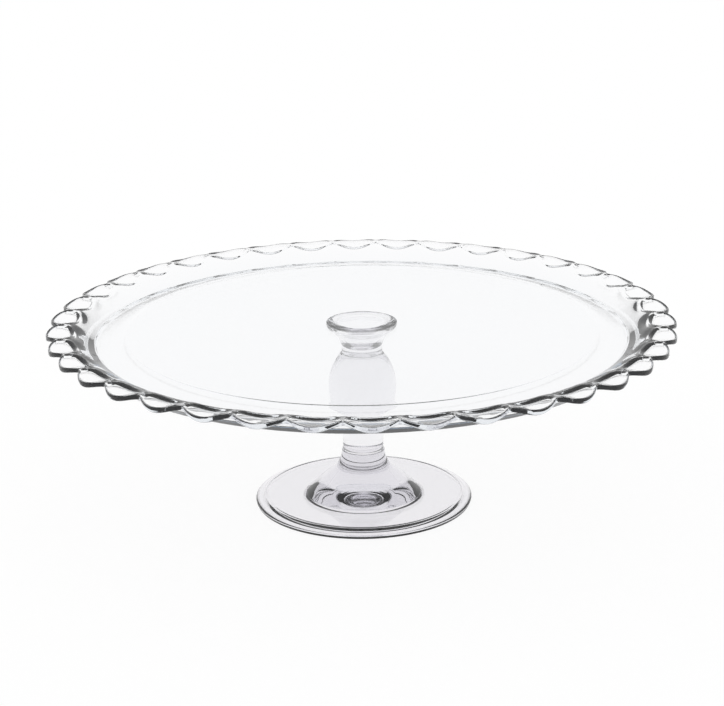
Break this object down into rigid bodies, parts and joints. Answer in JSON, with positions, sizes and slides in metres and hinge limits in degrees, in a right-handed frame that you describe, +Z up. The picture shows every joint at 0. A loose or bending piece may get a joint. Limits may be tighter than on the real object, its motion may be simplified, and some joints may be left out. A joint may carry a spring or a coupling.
{
  "type": "footed cake stand",
  "caption": "Clear pressed-glass cake stand: wide plate with a petalled, scooped rim on a flared collar, a baluster stem and a round beaded foot.",
  "frame": {"origin": "centre of the foot on the floor", "axes": "+Z up along the axis of the stem, +X through the tip of a petal"},
  "size_m": [0.322, 0.321, 0.0992],
  "materials": {
    "plate_glass": "clear",
    "collar_glass": "clear",
    "stem_glass": "clear",
    "foot_glass": "clear"
  },
  "bodies": {
    "root": {"plate": "plate_glass", "collar": "collar_glass", "stem": "stem_glass", "foot": "foot_glass"}
  },
  "joints": []
}
